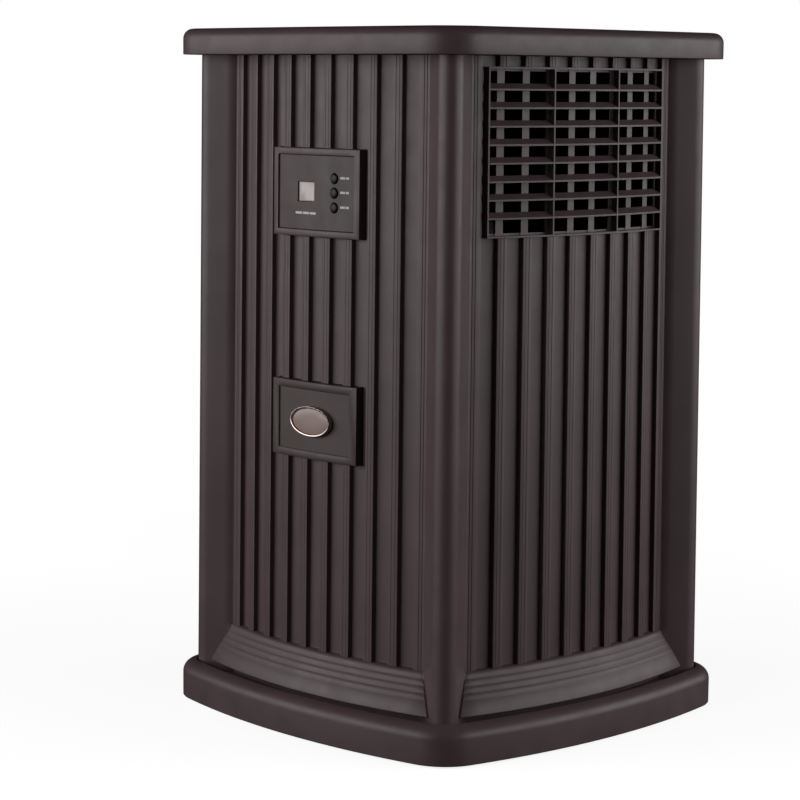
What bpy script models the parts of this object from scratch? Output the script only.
"""Pedestal evaporative humidifier, built from separate pieces.

The frame: +Z up, origin on the floor under the middle of the base. The control panel and the fill
drawer face -Y, the air outlet faces +X, the air inlet faces +Y.

All dimensions are in millimetres and are scaled to metres when a mesh is made.

Each side of the housing has its own face coordinates:
  u    distance along the face, anticlockwise seen from above,
  off  distance out of the bowed face, zero on the tops of the slats,
  z    height.
"""
import math

import bmesh
import bpy
from mathutils import Matrix, Vector

MM = 0.001

# Overall size
HEIGHT = 546.0
CLEARANCE = 0.3

# Base plinth and tub
BASE_HALF = 178.7
BASE_SAGITTA = 20.7
BASE_CORNER_R = 38.3
BASE_RIM_Z = 1.2
BASE_SIDE_Z = 21.0
SHOULDER_TOP_Z = 31.0
SHOULDER_INSET = 11.0
LEDGE_Z = 23.0
BASE_WALL = 3.0
TUB_HALF = 124.0
TUB_CORNER_R = 24.0
TUB_RIM_Z = 165.0
TUB_UNDERSIDE_Z = 4.0
TUB_FLOOR_Z = 7.0

# Housing walls
BOW_HALF = 146.3
BOW_R = 462.0
TAPER = 0.019
WALL = 2.4
POST_CENTRE = 136.4
POST_R = 10.0
POST_SLOPE = 29.4
POST_FOOT = (112.5, 134.5)
POST_STEPS = 8
MOULDING_U = 101.4
HOUSING_BOTTOM_Z = 23.4
HOUSING_TOP_Z = 525.1

# Raised slats on every side, with a valley between each two
SLAT_PITCH = 23.6
SLATS = 8
SLAT_WIDTH = 8.3
SLAT_DRAFT = 0.2
VALLEY_DEPTH = 4.2
INNER_DEPTH = 5.8
SLAT_BOTTOM_Z = 63.5

# Splayed skirt under the slats
SKIRT_TOP_Z = 63.2
SKIRT_BAND_Z = 43.0
SKIRT_BOTTOM_Z = 32.4
SKIRT_TOP_OFF = 1.2
SKIRT_BAND_OFF = 11.2
SKIRT_BOTTOM_OFF = 15.4
SKIRT_TOP_END = 111.0
SKIRT_BAND_END = 121.5
SKIRT_BOTTOM_END = 126.5

# Cap
CAP_HALF = 166.9
CAP_SAGITTA = 6.0
CAP_CORNER_R = 34.8
CAP_BOTTOM_Z = 525.4
CAP_SIDE_Z = 538.0
CAP_WALL = 2.8
CAP_FLANGE_HALF = 128.0

# Control panel: a frame, a plate, a display and three buttons
PANEL_U = (-49.5, 49.5)
PANEL_Z = (386.5, 454.3)
PANEL_BORDER = (5.7, 5.1)
INSERT_FRONT = 2.9
INSERT_GAP = 0.4
PLATE_FRONT = 1.5
PLATE_THICK = 2.0
DISPLAY_U = (-20.0, -0.5)
DISPLAY_Z = (413.3, 428.6)
BUTTON_U = 22.0
BUTTON_Z = (431.8, 420.8, 409.6)
BUTTON_R = 3.9
BUTTON_HOLE_R = 4.2
BUTTON_TRAVEL = 0.9
BOARD_FRONT = 134.4

# Fill drawer and its badge
DRAWER_U = (-48.5, 48.5)
DRAWER_Z = (213.9, 274.0)
DRAWER_BORDER = (8.0, 6.1)
DRAWER_RECESS = 1.4
TRAY_HALF = 38.0
TRAY_BACK = 88.0
TRAY_Z = (221.0, 262.0)
BADGE_Z = 243.7
BADGE_HALF = (23.0, 12.2)
BADGE_RAISE = 3.4

# Air outlet: a grille in a pocket, over slots cut through the valleys
GRILLE_U = (-98.6, 98.6)
GRILLE_Z = (390.5, 517.0)
GRILLE_DIVIDERS = (-36.3, 36.3)
GRILLE_BACK = -3.1
POCKET_OFF = -3.6
GRILLE_BAR = 1.3
SLOT_RIB = 6.7
GRILLE_ROWS = 9
GRILLE_TOP_ROW = 16.0
VANE_RISE = 3.9

# Air inlet at the back
INLET_Z = (92.0, 200.0)
INLET_ROWS = 8

# Bush for the mains lead, in the middle valley of the back
GLAND_Z = 258.0
GLAND_R = 5.2

# Fan, motor and the deck that carries them
DECK_Z = 300.0
DECK_THICK = 3.0
DECK_HALF = 127.0
DECK_CORNER_R = 34.0
SHROUD_R = 84.0
SHROUD_TOP_Z = 339.0
FAN_R = 79.0
FAN_Z = (310.0, 334.0)
HUB_R = 20.0
SHAFT_R = 4.0
SHAFT_Z = (302.5, 362.0)
BLADES = 5
BLADE_PITCH = 28.0
POST_RING = 94.0
DECK_SCREW_AT = 112.0
BRACKET_Z = 343.0
BRACKET_THICK = 2.5
MOTOR_R = 38.0
MOTOR_Z = (345.9, 394.0)

# Wick, its retainer and the float
WICK_HALF = 74.0
WICK_THICK = 22.0
WICK_Z = (12.5, 232.0)
RETAINER_GAP = 0.6
RETAINER_WALL = 2.2
FLOAT_AT = (-98.0, -98.0)
FLOAT_R = 15.0
FLOAT_Z = (8.5, 26.5)

FOOT_AT = 96.0
FOOT_R = 12.0

# Faces of a box from its eight corners
CUBE_FACES = ((3, 2, 1, 0), (4, 5, 6, 7), (0, 1, 5, 4), (1, 2, 6, 5), (2, 3, 7, 6), (3, 0, 4, 7))

# Colours are linear RGB
ESPRESSO = (0.062, 0.048, 0.046)
PLATE_BROWN = (0.060, 0.050, 0.044)
BLACK = (0.012, 0.011, 0.012)


def material(name, colour, roughness, metallic=0.0):
    """One Principled material, made once and shared by name."""
    found = bpy.data.materials.get(name)
    if found:
        return found
    made = bpy.data.materials.new(name)
    made.use_nodes = True
    shader = made.node_tree.nodes["Principled BSDF"]
    shader.inputs["Base Color"].default_value = (*colour, 1.0)
    shader.inputs["Roughness"].default_value = roughness
    shader.inputs["Metallic"].default_value = metallic
    made.diffuse_color = (*colour, 1.0)
    return made


def add_object(name, verts, faces, finish=None, origin=(0.0, 0.0, 0.0)):
    """A mesh object from points in millimetres, with its normals facing out and its origin set."""
    centre = Vector(origin)
    mesh = bpy.data.meshes.new(name)
    mesh.from_pydata([(Vector(v) - centre) * MM for v in verts], [], faces)
    work = bmesh.new()
    work.from_mesh(mesh)
    bmesh.ops.recalc_face_normals(work, faces=work.faces)
    work.to_mesh(mesh)
    work.free()
    piece = bpy.data.objects.new(name, mesh)
    piece.location = centre * MM
    bpy.context.scene.collection.objects.link(piece)
    if finish:
        mesh.materials.append(finish)
    return piece


def as_cutter(piece):
    """Mark a helper solid so that it is left out of the part."""
    piece.hide_render = True
    piece.display_type = "WIRE"
    return piece


def combine(piece, tool, operation):
    """Apply a Boolean between two pieces as a live modifier."""
    as_cutter(tool)
    modifier = piece.modifiers.new(tool.name, "BOOLEAN")
    modifier.operation = operation
    modifier.solver = "EXACT"
    modifier.object = tool
    return piece


def cut(piece, tool):
    return combine(piece, tool, "DIFFERENCE")


def fuse(piece, tool):
    return combine(piece, tool, "UNION")


def smooth(piece, angle=35.0):
    piece.data.shade_smooth()
    piece.data.set_sharp_from_angle(angle=math.radians(angle))
    return piece


def loft(name, loops, finish=None, caps=True, closed=False, **options):
    """Skin a stack of equal loops. Caps close the ends; closed joins the last loop to the first."""
    count = len(loops[0])
    verts = [point for loop in loops for point in loop]
    faces = []
    pairs = len(loops) if closed else len(loops) - 1
    for level in range(pairs):
        low = level * count
        high = ((level + 1) % len(loops)) * count
        for i in range(count):
            j = (i + 1) % count
            faces.append((low + i, low + j, high + j, high + i))
    if caps:
        faces.append(tuple(range(count - 1, -1, -1)))
        faces.append(tuple(range(len(verts) - count, len(verts))))
    return add_object(name, verts, faces, finish, **options)


def box(name, low, high, finish=None, **options):
    corners = [(low[0], low[1]), (high[0], low[1]), (high[0], high[1]), (low[0], high[1])]
    loops = [[(x, y, z) for x, y in corners] for z in (low[2], high[2])]
    return loft(name, loops, finish, **options)


def joined_boxes(name, boxes, finish=None):
    """Several separate boxes in one mesh, for cutting or fusing."""
    verts = []
    faces = []
    for low, high in boxes:
        start = len(verts)
        for z in (low[2], high[2]):
            verts += [(low[0], low[1], z), (high[0], low[1], z), (high[0], high[1], z), (low[0], high[1], z)]
        faces += [tuple(start + i for i in quad) for quad in CUBE_FACES]
    return add_object(name, verts, faces, finish)


def circle(radius, segments, centre=(0.0, 0.0), start=0.0):
    step = 2.0 * math.pi / segments
    return [
        (centre[0] + radius * math.cos(start + i * step), centre[1] + radius * math.sin(start + i * step))
        for i in range(segments)
    ]


def turned(name, profile, finish=None, centre=(0.0, 0.0), segments=24, **options):
    """A solid turned about a vertical axis from (radius, z) points, bottom to top."""
    loops = [[(x, y, z) for x, y in circle(radius, segments, centre)] for radius, z in profile]
    return smooth(loft(name, loops, finish, **options))


def turned_ring(name, profile, finish=None, centre=(0.0, 0.0), segments=24, **options):
    """A turned solid with a hole: the profile is a closed outline of (radius, z) points."""
    loops = [[(x, y, z) for x, y in circle(radius, segments, centre)] for radius, z in profile]
    return smooth(loft(name, loops, finish, caps=False, closed=True, **options))


def across_face(profile, centre, segments, face="front"):
    """Loops about an axis that runs out of a face, from (radius, distance from the middle) points."""
    loops = []
    for radius, distance in profile:
        ring = circle(radius, segments)
        if face == "front":
            loops.append([(centre[0] + a, -distance, centre[1] + b) for a, b in ring])
        else:
            loops.append([(centre[0] + a, distance, centre[1] + b) for a, b in ring])
    return loops


def taper(z):
    """The housing narrows slightly towards the top."""
    return 1.0 + TAPER * (0.5 - z / HEIGHT)


def bow(u):
    """Distance from the axis to the slat tops at u."""
    return BOW_HALF - BOW_R + math.sqrt(BOW_R * BOW_R - u * u)


def place(face, u, n, z):
    """A point on one of the four faces, from u, its distance n from the axis, and z."""
    scale = taper(z)
    u, n = u * scale, n * scale
    return {
        "front": (u, -n, z),
        "right": (n, u, z),
        "back": (-u, n, z),
        "left": (-n, -u, z),
    }[face]


def on_face(face, u, off, z):
    return place(face, u, bow(u) + off, z)


def bowed_square(half, sagitta, radius, side_steps, corner_steps, inset=0.0):
    """Outline of a square with bowed sides and rounded corners, drawn in by an inset."""
    reach = half - sagitta
    side_r = (reach * reach + sagitta * sagitta) / (2.0 * sagitta) if sagitta else None
    if side_r:
        inner = side_r - radius
        offset = side_r - half
        corner = (-offset + math.sqrt(2.0 * inner * inner - offset * offset)) / 2.0
        swing = math.atan2(corner, corner + offset)
    else:
        corner = half - radius
        swing = 0.0
    quarter = []
    for i in range(side_steps + 1):
        share = -1.0 + 2.0 * i / side_steps
        if side_r:
            angle = share * swing
            reach = side_r - inset
            quarter.append((reach * math.sin(angle), offset - reach * math.cos(angle)))
        else:
            quarter.append((share * corner, inset - half))
    first = -math.pi / 2.0 + swing
    last = -swing
    for i in range(1, corner_steps):
        angle = first + (last - first) * i / corner_steps
        round_r = radius - inset
        quarter.append((corner + round_r * math.cos(angle), -corner + round_r * math.sin(angle)))
    outline = []
    for turn in range(4):
        spin = Matrix.Rotation(turn * math.pi / 2.0, 2)
        outline += [tuple(spin @ Vector(point)) for point in quarter]
    return outline


def at_height(outline, z):
    return [(x, y, z) for x, y in outline]


# ---------------------------------------------------------------- housing

def slat_centres():
    return [SLAT_PITCH * (i - (SLATS - 1) / 2.0) for i in range(SLATS)]


def slatted_field(depth):
    """(u, off) across one face. Depth 1 gives the full valleys and 0 the plain bowed face."""
    floor = -VALLEY_DEPTH * depth
    points = [(-MOULDING_U, 0.0), (-MOULDING_U + SLAT_DRAFT, floor)]
    for centre in slat_centres():
        left = centre - SLAT_WIDTH / 2.0
        right = centre + SLAT_WIDTH / 2.0
        points += [(left - SLAT_DRAFT, floor), (left, 0.0), (right, 0.0), (right + SLAT_DRAFT, floor)]
    return points + [(MOULDING_U - SLAT_DRAFT, floor), (MOULDING_U, 0.0)]


def post_surface(u):
    """Distance from the axis to the sloping side of the corner post at u."""
    foot_u, foot_n = POST_FOOT
    return foot_n + (u - foot_u) * math.tan(math.radians(POST_SLOPE))


def post_round(radius):
    """(u, n) points round the post's edge, from the end of one sloping side to the other."""
    first = math.radians(-POST_SLOPE)
    last = math.radians(90.0 + POST_SLOPE)
    angles = [first + (last - first) * i / POST_STEPS for i in range(POST_STEPS + 1)]
    return [(POST_CENTRE + radius * math.sin(a), POST_CENTRE + radius * math.cos(a)) for a in angles]


def face_end(skirt_off, skirt_end):
    """(u, n) from the field out to the corner post. A skirt end of None leaves the post plain."""
    if skirt_end is None:
        return [(POST_FOOT[0] - 2.5, bow(POST_FOOT[0] - 2.5)), POST_FOOT]
    step = max(skirt_end + 0.4, POST_FOOT[0])
    edge = bow(skirt_end) + skirt_off
    return [(skirt_end, edge), (step, min(post_surface(step), edge))]


def face_path(level, inside):
    """(u, n) along one face at one level, then round the post that follows it."""
    _, depth, skirt_off, skirt_end = level
    if inside:
        field = [(u, bow(u) - INNER_DEPTH) for u, _ in slatted_field(depth)]
        foot_u, foot_n = POST_FOOT
        end = [(foot_u - 2.0, bow(foot_u - 2.0) - WALL - 1.6), (foot_u + 1.2, foot_n - WALL + 0.2)]
        post = post_round(POST_R - WALL)
    else:
        field = [(u, bow(u) + off + skirt_off) for u, off in slatted_field(depth)]
        end = face_end(skirt_off, skirt_end)
        post = post_round(POST_R)
    near = [(-u, n) for u, n in reversed(end)]
    return near + field + end + post


def housing_outline(level, inside):
    z = level[0]
    path = face_path(level, inside)
    return [place(face, u, n, z) for face in ("front", "right", "back", "left") for u, n in path]


# Each level is (z, valley depth, skirt offset, skirt end)
OUTER_LEVELS = (
    (HOUSING_TOP_Z, 1.0, 0.0, None),
    (SLAT_BOTTOM_Z, 1.0, 0.0, None),
    (SKIRT_TOP_Z, 0.0, SKIRT_TOP_OFF, SKIRT_TOP_END),
    (SKIRT_BAND_Z, 0.0, SKIRT_BAND_OFF, SKIRT_BAND_END),
    (SKIRT_BOTTOM_Z, 0.0, SKIRT_BOTTOM_OFF, SKIRT_BOTTOM_END),
    (SKIRT_BOTTOM_Z - 0.4, 0.0, 0.0, None),
    (HOUSING_BOTTOM_Z, 0.0, 0.0, None),
)
INNER_LEVELS = (
    (HOUSING_BOTTOM_Z, 0.0, 0.0, None),
    (SLAT_BOTTOM_Z, 0.0, 0.0, None),
    (HOUSING_TOP_Z, 0.0, 0.0, None),
)


def make_shell(finish):
    """The square housing in one moulding: slatted sides, corner posts and the splayed skirt."""
    loops = [housing_outline(level, False) for level in OUTER_LEVELS]
    loops += [housing_outline(level, True) for level in INNER_LEVELS]
    return loft("chassis_shell", loops, finish, caps=False, closed=True)


def valley_slots(name, face, z_range):
    """Cutters that open the valleys right through, between the slats."""
    verts = []
    faces = []
    edges = [-MOULDING_U] + slat_centres() + [MOULDING_U]
    for low, high in zip(edges, edges[1:]):
        left = low + SLOT_RIB / 2.0 if low > edges[0] else GRILLE_U[0] + 3.0
        right = high - SLOT_RIB / 2.0 if high < edges[-1] else GRILLE_U[1] - 3.0
        start = len(verts)
        corners = ((left, -14.0), (right, -14.0), (right, 6.0), (left, 6.0))
        for z in z_range:
            verts += [on_face(face, u, off, z) for u, off in corners]
        faces += [tuple(start + i for i in quad) for quad in CUBE_FACES]
    return add_object(name, verts, faces)


def cut_insert(shell, name, u_range, z_range, back=-16.0, face="front"):
    """Cut a rectangular opening or pocket for an insert, down to a given depth."""
    wide = grown(u_range, INSERT_GAP)
    tall = grown(z_range, INSERT_GAP)
    cut(shell, bowed_solid(name, [(wide, tall, back), (wide, tall, 9.0)], None, 12, face))


def add_deck_ledges(shell):
    """Solid corner ledges under the fan deck, with a blind hole for each deck screw."""
    middle = POST_R - WALL / 2.0
    side = post_surface(120.0) - WALL / 2.0 / math.cos(math.radians(POST_SLOPE))
    edge = [post_round(middle)[i] for i in (0, 2, 4, 6, 8)]
    plan = [(120.0, side), *edge, (side, 120.0), (120.0, 104.0), (104.0, 104.0), (104.0, 120.0)]
    for i in range(4):
        spin = Matrix.Rotation(math.pi / 2.0 * i, 2)
        outline = [tuple(spin @ Vector(point)) for point in plan]
        loops = [at_height(outline, DECK_Z - 16.0), at_height(outline, DECK_Z - CLEARANCE)]
        fuse(shell, loft(f"add_ledge_{i + 1}", loops))
        spot = tuple(spin @ Vector((DECK_SCREW_AT, DECK_SCREW_AT)))
        hole = [(2.0, DECK_Z - 12.5), (2.0, DECK_Z + 5.0)]
        cut(shell, turned(f"cut_ledge_{i + 1}", hole, centre=spot, segments=8))


def make_housing(finish):
    shell = make_shell(finish)
    add_deck_ledges(shell)
    cut_insert(shell, "cut_panel", PANEL_U, PANEL_Z)
    cut_insert(shell, "cut_drawer", DRAWER_U, DRAWER_Z)
    for face, name, z_range in (("right", "outlet", GRILLE_Z), ("back", "inlet", INLET_Z)):
        cut_insert(shell, f"cut_{name}_pocket", GRILLE_U, z_range, POCKET_OFF, face)
        cut(shell, valley_slots(f"cut_{name}_slots", face, grown(z_range, -3.0)))
    hole = across_face([(GLAND_R + CLEARANCE, 110.0), (GLAND_R + CLEARANCE, 170.0)], (0.0, GLAND_Z), 12, "back")
    cut(shell, loft("cut_gland", hole))


# ---------------------------------------------------------------- base, cap and feet

def make_base(finish):
    """Plinth and tub in one moulding: a hollow foot all round and a deep tub in the middle."""
    def plan(inset):
        return bowed_square(BASE_HALF, BASE_SAGITTA, BASE_CORNER_R, 8, 6, inset)

    tub = bowed_square(TUB_HALF, 0.0, TUB_CORNER_R, 8, 6)
    tub_inside = bowed_square(TUB_HALF, 0.0, TUB_CORNER_R, 8, 6, BASE_WALL)
    loops = [
        at_height(tub, TUB_UNDERSIDE_Z),
        at_height(tub, LEDGE_Z - BASE_WALL),
        at_height(plan(SHOULDER_INSET + 3.0), LEDGE_Z - BASE_WALL),
        at_height(plan(BASE_WALL), BASE_SIDE_Z - 3.0),
        at_height(plan(BASE_WALL), BASE_RIM_Z),
        at_height(plan(0.0), BASE_RIM_Z),
        at_height(plan(0.0), BASE_SIDE_Z),
        at_height(plan(2.6), BASE_SIDE_Z + 6.0),
        at_height(plan(SHOULDER_INSET - 3.2), SHOULDER_TOP_Z - 0.6),
        at_height(plan(SHOULDER_INSET), SHOULDER_TOP_Z),
        at_height(plan(SHOULDER_INSET + 0.2), LEDGE_Z),
        at_height(tub, LEDGE_Z),
        at_height(tub, TUB_RIM_Z),
        at_height(tub_inside, TUB_RIM_Z),
        at_height(tub_inside, TUB_FLOOR_Z),
    ]
    return loft("reservoir_base", loops, finish)


def make_feet(finish):
    for i, (x, y) in enumerate(((1, 1), (1, -1), (-1, -1), (-1, 1))):
        profile = [(FOOT_R, 0.0), (FOOT_R, TUB_UNDERSIDE_Z - CLEARANCE)]
        turned(f"foot_{i + 1}", profile, finish, centre=(x * FOOT_AT, y * FOOT_AT), segments=16)


def make_cap(finish):
    """The top cover: rounded upper edge, and a flange underneath that the housing butts against."""
    def plan(inset):
        return bowed_square(CAP_HALF, CAP_SAGITTA, CAP_CORNER_R, 8, 6, inset)

    flange = bowed_square(CAP_FLANGE_HALF, CAP_SAGITTA, 20.0, 8, 6)
    loops = [
        at_height(plan(CAP_WALL + 7.0), HEIGHT - CAP_WALL),
        at_height(plan(CAP_WALL), CAP_SIDE_Z - 1.0),
        at_height(plan(CAP_WALL), CAP_BOTTOM_Z + CAP_WALL),
        at_height(flange, CAP_BOTTOM_Z + CAP_WALL),
        at_height(flange, CAP_BOTTOM_Z),
        at_height(plan(0.0), CAP_BOTTOM_Z),
        at_height(plan(0.0), CAP_SIDE_Z),
        at_height(plan(0.8), CAP_SIDE_Z + 3.6),
        at_height(plan(3.2), CAP_SIDE_Z + 6.6),
        at_height(plan(8.0), HEIGHT),
    ]
    return loft("top_cap", loops, finish)


# ---------------------------------------------------------------- inserts on the front face

def bowed_rectangle(t_range, z_range, off, steps, face="front"):
    """Perimeter of a rectangle on a bowed face: the bottom edge, then the top edge backwards."""
    ts = [t_range[0] + (t_range[1] - t_range[0]) * i / steps for i in range(steps + 1)]
    bottom = [on_face(face, t, off, z_range[0]) for t in ts]
    top = [on_face(face, t, off, z_range[1]) for t in reversed(ts)]
    return bottom + top


def bowed_solid(name, layers, finish, steps=6, face="front", **options):
    """A solid through bowed rectangles (t range, z range, off); its ends are closed with quads."""
    loops = [bowed_rectangle(t_range, z_range, off, steps, face) for t_range, z_range, off in layers]
    count = len(loops[0])
    verts = [point for loop in loops for point in loop]
    faces = []
    for level in range(len(loops) - 1):
        low = level * count
        for i in range(count):
            j = (i + 1) % count
            faces.append((low + i, low + j, low + count + j, low + count + i))
    for start in (0, len(verts) - count):
        for i in range(steps):
            faces.append((start + i, start + i + 1, start + count - 2 - i, start + count - 1 - i))
    return add_object(name, verts, faces, finish, **options)


def bowed_frame(name, layers, finish, steps=6, face="front"):
    """A ring through bowed rectangles, the last joined to the first."""
    loops = [bowed_rectangle(t_range, z_range, off, steps, face) for t_range, z_range, off in layers]
    return loft(name, loops, finish, caps=False, closed=True)


def grown(span, amount):
    return (span[0] - amount, span[1] + amount)


def make_panel(frame_finish, plate_finish, lens_finish, button_finish, board_finish):
    window_u = grown(PANEL_U, -PANEL_BORDER[0])
    window_z = grown(PANEL_Z, -PANEL_BORDER[1])
    layers = [
        (PANEL_U, PANEL_Z, INSERT_FRONT),
        (PANEL_U, PANEL_Z, -6.2),
        (grown(PANEL_U, 4.0), grown(PANEL_Z, 4.0), -6.2),
        (grown(PANEL_U, 4.0), grown(PANEL_Z, 4.0), -8.0),
        (window_u, window_z, -8.0),
        (window_u, window_z, INSERT_FRONT),
    ]
    bowed_frame("control_frame", layers, frame_finish)
    wide = grown(window_u, -CLEARANCE)
    tall = grown(window_z, -CLEARANCE)
    back = PLATE_FRONT - PLATE_THICK
    plate = bowed_solid("control_plate", [(wide, tall, PLATE_FRONT), (wide, tall, back)], plate_finish)
    cut(plate, bowed_solid("cut_display", [(DISPLAY_U, DISPLAY_Z, 9.0), (DISPLAY_U, DISPLAY_Z, -9.0)], None, 2))
    wide = grown(DISPLAY_U, -CLEARANCE)
    tall = grown(DISPLAY_Z, -CLEARANCE)
    bowed_solid("display_lens", [(wide, tall, PLATE_FRONT - 1.4), (wide, tall, -5.5)], lens_finish, 2)
    for i, z in enumerate(BUTTON_Z):
        make_button(i + 1, z, plate, back, button_finish)
    low = (-42.0, -BOARD_FRONT, 392.0)
    box("control_board", low, (42.0, -BOARD_FRONT + 1.6, 448.0), board_finish)


def make_button(number, z, plate, back, finish):
    """A round button behind a hole in the plate, and the switch it presses."""
    scale = taper(z)
    x = BUTTON_U * scale
    surface = bow(BUTTON_U) * scale
    hole = across_face([(BUTTON_HOLE_R, surface - 9.0), (BUTTON_HOLE_R, surface + 9.0)], (x, z), 16)
    cut(plate, loft(f"cut_button_{number}", hole))
    profile = [
        (BUTTON_R - 0.7, surface + PLATE_FRONT + 1.3),
        (BUTTON_R, surface + PLATE_FRONT + 0.9),
        (BUTTON_R, surface + back - 0.5),
        (BUTTON_HOLE_R + 0.9, surface + back - 0.5),
        (BUTTON_HOLE_R + 0.9, surface + back - 1.4),
        (1.8, surface + back - 1.4),
        (1.8, surface + back - 4.6),
    ]
    loops = across_face(profile, (x, z), 16)
    smooth(loft(f"button_{number}", loops, finish, origin=(x, -surface, z)))
    switch_front = surface + back - 4.6 - BUTTON_TRAVEL - 0.3
    low = (x - 3.0, -switch_front, z - 3.0)
    box(f"tact_switch_{number}", low, (x + 3.0, -BOARD_FRONT - CLEARANCE, z + 3.0), finish)


def make_drawer(front_finish, tray_finish, rim_finish, field_finish):
    """Fill drawer: a front with a raised border, a tray behind it, and a plain oval badge."""
    inner_u = grown(DRAWER_U, -DRAWER_BORDER[0])
    inner_z = grown(DRAWER_Z, -DRAWER_BORDER[1])
    layers = [
        (DRAWER_U, DRAWER_Z, -4.0),
        (DRAWER_U, DRAWER_Z, INSERT_FRONT),
        (inner_u, inner_z, INSERT_FRONT),
        (inner_u, inner_z, INSERT_FRONT - DRAWER_RECESS),
    ]
    bowed_solid("drawer_front", layers, front_finish)
    front = bow(TRAY_HALF) - 4.0 - 0.6
    low = (-TRAY_HALF, -front, TRAY_Z[0])
    high = (TRAY_HALF, -TRAY_BACK, TRAY_Z[1])
    tray = box("drawer_tray", low, high, tray_finish)
    inside_low = tuple(value + 2.0 for value in low)
    cut(tray, box("cut_tray", inside_low, (high[0] - 2.0, high[1] - 2.0, high[2] + 5.0)))
    cut(tray, box("cut_spout", (-18.0, -TRAY_BACK - 14.0, low[2] - 4.0), (18.0, -TRAY_BACK - 6.0, low[2] + 4.0)))
    make_badge(rim_finish, field_finish)


def make_badge(rim_finish, field_finish):
    base = (bow(0.0) + INSERT_FRONT - DRAWER_RECESS) * taper(BADGE_Z) + CLEARANCE
    top = base + BADGE_RAISE

    def oval(grow, distance):
        half_u, half_z = BADGE_HALF
        ring = circle(1.0, 28)
        return [((half_u + grow) * a, -distance, BADGE_Z + (half_z + grow) * b) for a, b in ring]

    rim = [
        oval(0.0, base),
        oval(0.0, top - 0.4),
        oval(-0.5, top),
        oval(-1.4, top),
        oval(-2.0, top - 1.0),
        oval(-2.0, base),
    ]
    smooth(loft("badge_rim", rim, rim_finish, caps=False, closed=True))
    smooth(loft("badge_field", [oval(-2.3, base), oval(-2.3, top - 1.2)], field_finish))


def make_drawer_guide(finish):
    """A channel fixed behind the front wall that the tray runs in."""
    outer = TRAY_HALF + 3.0
    inside = TRAY_HALF + 0.6
    floor = TRAY_Z[0] - 3.0
    guide = box("drawer_guide", (-outer, -138.2, floor), (outer, -TRAY_BACK + 4.0, TRAY_Z[1] - 6.0), finish)
    cut(guide, box("cut_guide", (-inside, -150.0, TRAY_Z[0] - 0.6), (inside, -TRAY_BACK + 0.8, TRAY_Z[1] + 5.0)))
    cut(guide, box("cut_outlet", (-22.0, -TRAY_BACK - 18.0, floor - 4.0), (22.0, -TRAY_BACK - 4.0, floor + 8.0)))


# ---------------------------------------------------------------- grilles

def lattice(name, face, u_lines, z_lines, finish):
    """An open grid on a bowed face, from the pairs of edges of its bars. The bars rise to the back."""
    us = []
    for i, pair in enumerate(u_lines):
        us += pair
        if i + 1 < len(u_lines):
            gap = u_lines[i + 1][0] - pair[1]
            us += [pair[1] + gap * share for share in (0.25, 0.5, 0.75)]
    zs = [z for pair in z_lines for z in pair]
    solid_u = [any(a <= (p + q) / 2.0 <= b for a, b in u_lines) for p, q in zip(us, us[1:])]
    solid_z = [j % 2 == 0 for j in range(len(zs) - 1)]
    index = {}
    verts = []

    def vertex(i, j, back):
        key = (i, j, back)
        if key not in index:
            z = zs[j]
            if back and 1 < j < len(zs) - 2:
                z += VANE_RISE
            index[key] = len(verts)
            verts.append(on_face(face, us[i], GRILLE_BACK if back else INSERT_FRONT, z))
        return index[key]

    def filled(i, j):
        inside = 0 <= i < len(solid_u) and 0 <= j < len(solid_z)
        return inside and (solid_u[i] or solid_z[j])

    sides = (
        (-1, 0, (0, 1), (0, 0)),
        (1, 0, (1, 0), (1, 1)),
        (0, -1, (0, 0), (1, 0)),
        (0, 1, (1, 1), (0, 1)),
    )
    faces = []
    for i, j in [(i, j) for i in range(len(solid_u)) for j in range(len(solid_z)) if filled(i, j)]:
        for back in (0, 1):
            faces.append([vertex(i + a, j + b, back) for a, b in ((0, 0), (1, 0), (1, 1), (0, 1))])
        for di, dj, a, b in sides:
            if not filled(i + di, j + dj):
                p = (i + a[0], j + a[1])
                q = (i + b[0], j + b[1])
                faces.append([vertex(*p, 0), vertex(*q, 0), vertex(*q, 1), vertex(*p, 1)])
    return add_object(name, verts, faces, finish)


def bar_pairs(centres, width):
    return [(centre - width / 2.0, centre + width / 2.0) for centre in centres]


def make_grilles(finish):
    half = GRILLE_BAR / 2.0
    upright = bar_pairs([GRILLE_U[0] + half, *GRILLE_DIVIDERS, GRILLE_U[1] - half], GRILLE_BAR)
    first = GRILLE_Z[0] + half
    last = GRILLE_Z[1] - half
    pitch = (last - GRILLE_TOP_ROW - first) / (GRILLE_ROWS - 1)
    level = [first + pitch * i for i in range(GRILLE_ROWS)] + [last]
    lattice("outlet_grille", "right", upright, bar_pairs(level, GRILLE_BAR), finish)
    step = (INLET_Z[1] - INLET_Z[0] - GRILLE_BAR) / INLET_ROWS
    level = [INLET_Z[0] + half + step * i for i in range(INLET_ROWS + 1)]
    lattice("inlet_grille", "back", upright, bar_pairs(level, GRILLE_BAR), finish)


# ---------------------------------------------------------------- fan deck, motor and fan

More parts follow.
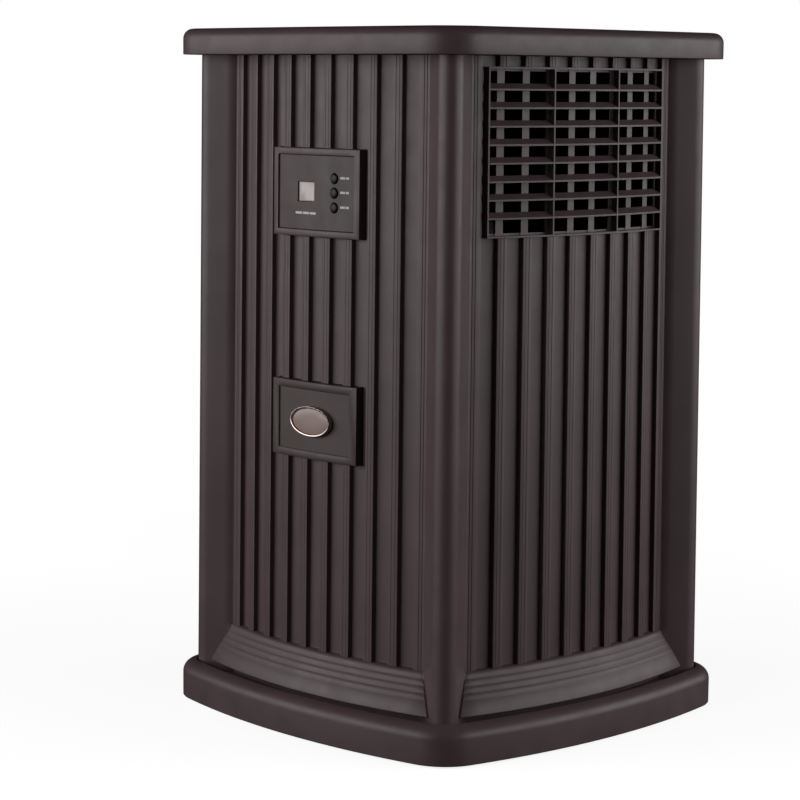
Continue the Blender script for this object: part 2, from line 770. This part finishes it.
def make_deck(finish):
    """A plate across the housing with a round shroud for the fan and four posts for the motor bracket."""
    outline = bowed_square(DECK_HALF, 0.0, DECK_CORNER_R, 4, 4)
    deck = loft("fan_deck", [at_height(outline, DECK_Z), at_height(outline, DECK_Z + DECK_THICK)], finish)
    ring = [
        (SHROUD_R + 3.0, DECK_Z + 1.0),
        (SHROUD_R + 3.0, SHROUD_TOP_Z),
        (SHROUD_R - 1.0, SHROUD_TOP_Z),
        (SHROUD_R - 1.0, DECK_Z + 1.0),
    ]
    fuse(deck, turned_ring("add_shroud", ring, segments=32))
    cut(deck, turned("cut_throat", [(SHROUD_R, DECK_Z - 5.0), (SHROUD_R, SHROUD_TOP_Z + 5.0)], segments=32))
    reach = POST_RING / math.sqrt(2.0)
    for i, (x, y) in enumerate(((1, 1), (1, -1), (-1, -1), (-1, 1))):
        spot = (x * reach, y * reach)
        profile = [(5.5, DECK_Z + 1.0), (5.5, BRACKET_Z - CLEARANCE)]
        fuse(deck, turned(f"add_post_{i + 1}", profile, centre=spot, segments=12))
        hole = [(2.0, BRACKET_Z - 14.0), (2.0, BRACKET_Z + 9.0)]
        cut(deck, turned(f"cut_post_{i + 1}", hole, centre=spot, segments=10))
    for i, (x, y) in enumerate(((1, 1), (1, -1), (-1, -1), (-1, 1))):
        spot = (x * DECK_SCREW_AT, y * DECK_SCREW_AT)
        hole = [(2.6, DECK_Z - 5.0), (2.6, DECK_Z + 9.0)]
        cut(deck, turned(f"cut_deck_{i + 1}", hole, centre=spot, segments=10))


def screw(name, spot, under_head, length, radius, head_radius, finish):
    """A pan-head screw pointing down, with its head's underside at under_head."""
    profile = [
        (radius * 0.4, under_head - length),
        (radius, under_head - length + radius),
        (radius, under_head),
        (head_radius, under_head),
        (head_radius, under_head + 1.2),
        (head_radius * 0.6, under_head + 2.2),
    ]
    return turned(name, profile, finish, centre=spot, segments=12)


def make_deck_screws(finish):
    for i, (x, y) in enumerate(((1, 1), (-1, 1), (-1, -1), (1, -1))):
        spot = (x * DECK_SCREW_AT, y * DECK_SCREW_AT)
        screw(f"deck_screw_{i + 1}", spot, DECK_Z + DECK_THICK + CLEARANCE, 13.0, 1.7, 4.0, finish)


def make_motor(bracket_finish, motor_finish, screw_finish):
    """Cross bracket on the deck's posts, and the motor standing on it."""
    profile = [(MOTOR_R - 4.0, BRACKET_Z), (MOTOR_R - 4.0, BRACKET_Z + BRACKET_THICK)]
    bracket = turned("motor_bracket", profile, bracket_finish, segments=24)
    reach = POST_RING + 7.0
    for i, angle in enumerate((45.0, 135.0)):
        arm = box(f"add_arm_{i + 1}", (-reach, -7.0, BRACKET_Z), (reach, 7.0, BRACKET_Z + BRACKET_THICK))
        arm.rotation_euler.z = math.radians(angle)
        fuse(bracket, arm)
    way = [(SHAFT_R + 2.0, BRACKET_Z - 5.0), (SHAFT_R + 2.0, BRACKET_Z + 9.0)]
    cut(bracket, turned("cut_shaft_way", way, segments=16))
    spread = POST_RING / math.sqrt(2.0)
    for i, (x, y) in enumerate(((1, 1), (1, -1), (-1, -1), (-1, 1))):
        spot = (x * spread, y * spread)
        hole = [(2.4, BRACKET_Z - 5.0), (2.4, BRACKET_Z + 9.0)]
        cut(bracket, turned(f"cut_arm_{i + 1}", hole, centre=spot, segments=10))
        screw(f"bracket_screw_{i + 1}", spot, BRACKET_Z + BRACKET_THICK + CLEARANCE, 12.0, 1.6, 3.8, screw_finish)
    profile = [
        (MOTOR_R - 5.0, MOTOR_Z[0]),
        (MOTOR_R, MOTOR_Z[0] + 5.0),
        (MOTOR_R, MOTOR_Z[1] - 5.0),
        (MOTOR_R - 5.0, MOTOR_Z[1]),
    ]
    motor = turned("fan_motor", profile, motor_finish, segments=28)
    bore = SHAFT_R + 0.3
    cut(motor, turned("cut_motor_shaft", [(bore, MOTOR_Z[0] - 5.0), (bore, SHAFT_Z[1] + 1.0)], segments=16))


def make_fan(blade_finish, shaft_finish):
    """The turning parts: a five-bladed rotor, its shaft and the nut under the hub."""
    hub = [
        (HUB_R - 3.0, FAN_Z[0]),
        (HUB_R, FAN_Z[0] + 4.0),
        (HUB_R, FAN_Z[1] - 1.0),
        (HUB_R - 1.0, FAN_Z[1]),
    ]
    rotor = turned("fan_rotor", hub, blade_finish, segments=24)
    middle = (FAN_Z[0] + FAN_Z[1]) / 2.0
    stations = ((HUB_R - 3.0, 1.35, 12.0), (HUB_R + 18.0, 1.1, 17.0), (FAN_R - 16.0, 0.9, 21.0), (FAN_R, 0.75, 18.0))
    for blade in range(BLADES):
        spin = Matrix.Rotation(2.0 * math.pi * blade / BLADES, 3, "Z")
        loops = []
        for radius, steepness, half_chord in stations:
            angle = math.radians(BLADE_PITCH * steepness)
            along = Vector((0.0, math.cos(angle), math.sin(angle)))
            across = Vector((0.0, -math.sin(angle), math.cos(angle)))
            corners = []
            for chord, side in ((-1, -1), (0, -1.6), (1, -1), (1, 1), (0, 0.4), (-1, 1)):
                point = Vector((radius, 0.0, middle)) + along * (chord * half_chord) + across * side
                corners.append(tuple(spin @ point))
            loops.append(corners)
        fuse(rotor, loft(f"add_blade_{blade + 1}", loops))
    cut(rotor, turned("cut_hub", [(SHAFT_R + 0.3, FAN_Z[0] - 5.0), (SHAFT_R + 0.3, FAN_Z[1] + 5.0)], segments=16))
    turned("motor_shaft", [(SHAFT_R, SHAFT_Z[0]), (SHAFT_R, SHAFT_Z[1])], shaft_finish, segments=16)
    low, high = FAN_Z[0] - 6.3, FAN_Z[0] - 0.3
    nut = [(SHAFT_R + 0.3, low), (8.0, low), (8.0, high), (SHAFT_R + 0.3, high)]
    turned_ring("fan_nut", nut, shaft_finish, segments=16)


# ---------------------------------------------------------------- wick, retainer, float and gland

def square_ring(name, outer, inner, z_range, finish, corner=14.0):
    """A rounded square tube."""
    inner_corner = max(corner - (outer - inner), 4.0)
    wide = bowed_square(outer, 0.0, corner, 3, 3)
    slim = bowed_square(inner, 0.0, inner_corner, 3, 3)
    low, high = z_range
    loops = [at_height(wide, low), at_height(wide, high), at_height(slim, high), at_height(slim, low)]
    return loft(name, loops, finish, caps=False, closed=True)


def make_wick(wick_finish, cage_finish):
    """The wick stands in the tub inside a cage made of two halves."""
    square_ring("wick", WICK_HALF, WICK_HALF - WICK_THICK, WICK_Z, wick_finish)
    inner = WICK_HALF + RETAINER_GAP
    outer = inner + RETAINER_WALL
    base_z = TUB_FLOOR_Z + CLEARANCE
    for name, side in (("wick_cage_front", -1), ("wick_cage_rear", 1)):
        cage = square_ring(name, outer, inner, (base_z, WICK_Z[1] - 4.0), cage_finish)
        floor_y = sorted((side * 2.0, side * (inner + 0.5)))
        floor_low = (-inner - 0.5, floor_y[0], base_z)
        fuse(cage, box(f"add_{name}_floor", floor_low, (inner + 0.5, floor_y[1], base_z + 3.2)))
        keep_low = (-outer - 9.0, -outer - 9.0 if side > 0 else -CLEARANCE / 2.0, base_z - 5.0)
        keep_high = (outer + 9.0, CLEARANCE / 2.0 if side > 0 else outer + 9.0, WICK_Z[1] + 9.0)
        cut(cage, box(f"cut_{name}_half", keep_low, keep_high))
        windows = []
        for row in range(4):
            z0 = base_z + 14.0 + row * 50.0
            for column in (-1, 0, 1):
                x = column * 44.0
                y_near = side * (inner - 6.0)
                y_far = side * (outer + 6.0)
                windows.append(((x - 17.0, min(y_near, y_far), z0), (x + 17.0, max(y_near, y_far), z0 + 38.0)))
            y_a, y_b = side * 12.0, side * 58.0
            windows.append(((-outer - 6.0, min(y_a, y_b), z0), (-inner + 6.0, max(y_a, y_b), z0 + 38.0)))
            windows.append(((inner - 6.0, min(y_a, y_b), z0), (outer + 6.0, max(y_a, y_b), z0 + 38.0)))
        cut(cage, joined_boxes(f"cut_{name}_windows", windows))


def make_float(float_finish, cage_finish):
    """A float that rises in an open cage in the front left corner of the tub."""
    spot = FLOAT_AT
    origin = (spot[0], spot[1], FLOAT_Z[0])
    low, high = FLOAT_Z
    body = [(FLOAT_R - 2.0, low), (FLOAT_R, low + 2.0), (FLOAT_R, high - 2.0), (FLOAT_R - 2.0, high)]
    body += [(3.0, high), (3.0, high + 58.0)]
    turned("float", body, float_finish, centre=spot, segments=16, origin=origin)
    inner = FLOAT_R + 1.0
    foot = TUB_FLOOR_Z + 0.3
    ring = [(inner, foot), (inner + 2.0, foot), (inner + 2.0, 70.0), (3.8, 70.0), (3.8, 67.6), (inner, 67.6)]
    cage = turned_ring("float_cage", ring, cage_finish, centre=spot, segments=16)
    sides = [
        ((spot[0] - 30.0, spot[1] - 8.0, 12.0), (spot[0] + 30.0, spot[1] + 8.0, 62.0)),
        ((spot[0] - 8.0, spot[1] - 30.0, 12.0), (spot[0] + 8.0, spot[1] + 30.0, 62.0)),
    ]
    for i, span in enumerate(sides):
        cut(cage, joined_boxes(f"cut_float_cage_{i + 1}", [span]))


def make_gland(finish):
    """The bush where the mains lead would pass through the back wall. The lead itself isn't fitted."""
    wall = (bow(0.0) - VALLEY_DEPTH) * taper(GLAND_Z)
    profile = [
        (3.4, wall - 8.0),
        (GLAND_R, wall - 8.0),
        (GLAND_R, wall + CLEARANCE),
        (7.2, wall + CLEARANCE),
        (7.2, wall + 2.4),
        (3.4, wall + 2.4),
    ]
    loops = across_face(profile, (0.0, GLAND_Z), 16, "back")
    smooth(loft("cord_gland", loops, finish, caps=False, closed=True))


def clear_scene():
    for found in list(bpy.data.objects):
        bpy.data.objects.remove(found, do_unlink=True)


def main():
    clear_scene()
    housing = material("housing_brown", ESPRESSO, 0.42)
    plate = material("plate_brown", PLATE_BROWN, 0.38)
    black = material("black_plastic", BLACK, 0.35)
    rubber = material("rubber", BLACK, 0.8)
    lens = material("lens_grey", (0.38, 0.33, 0.32), 0.25)
    steel = material("steel", (0.55, 0.55, 0.56), 0.35, 1.0)
    silver = material("badge_silver", (0.6, 0.52, 0.48), 0.25, 1.0)
    taupe = material("badge_taupe", (0.33, 0.28, 0.25), 0.4)
    board = material("board_green", (0.02, 0.12, 0.05), 0.5)
    inner = material("inner_grey", (0.10, 0.10, 0.10), 0.55)
    paper = material("wick_paper", (0.55, 0.50, 0.40), 0.95)
    foam = material("float_white", (0.72, 0.72, 0.70), 0.6)

    make_base(housing)
    make_feet(rubber)
    make_housing(housing)
    make_cap(housing)
    make_panel(housing, plate, lens, black, board)
    make_drawer(plate, inner, silver, taupe)
    make_drawer_guide(inner)
    make_grilles(housing)
    make_deck(inner)
    make_deck_screws(steel)
    make_motor(steel, inner, steel)
    make_fan(black, steel)
    make_wick(paper, inner)
    make_float(foam, inner)
    make_gland(rubber)


main()
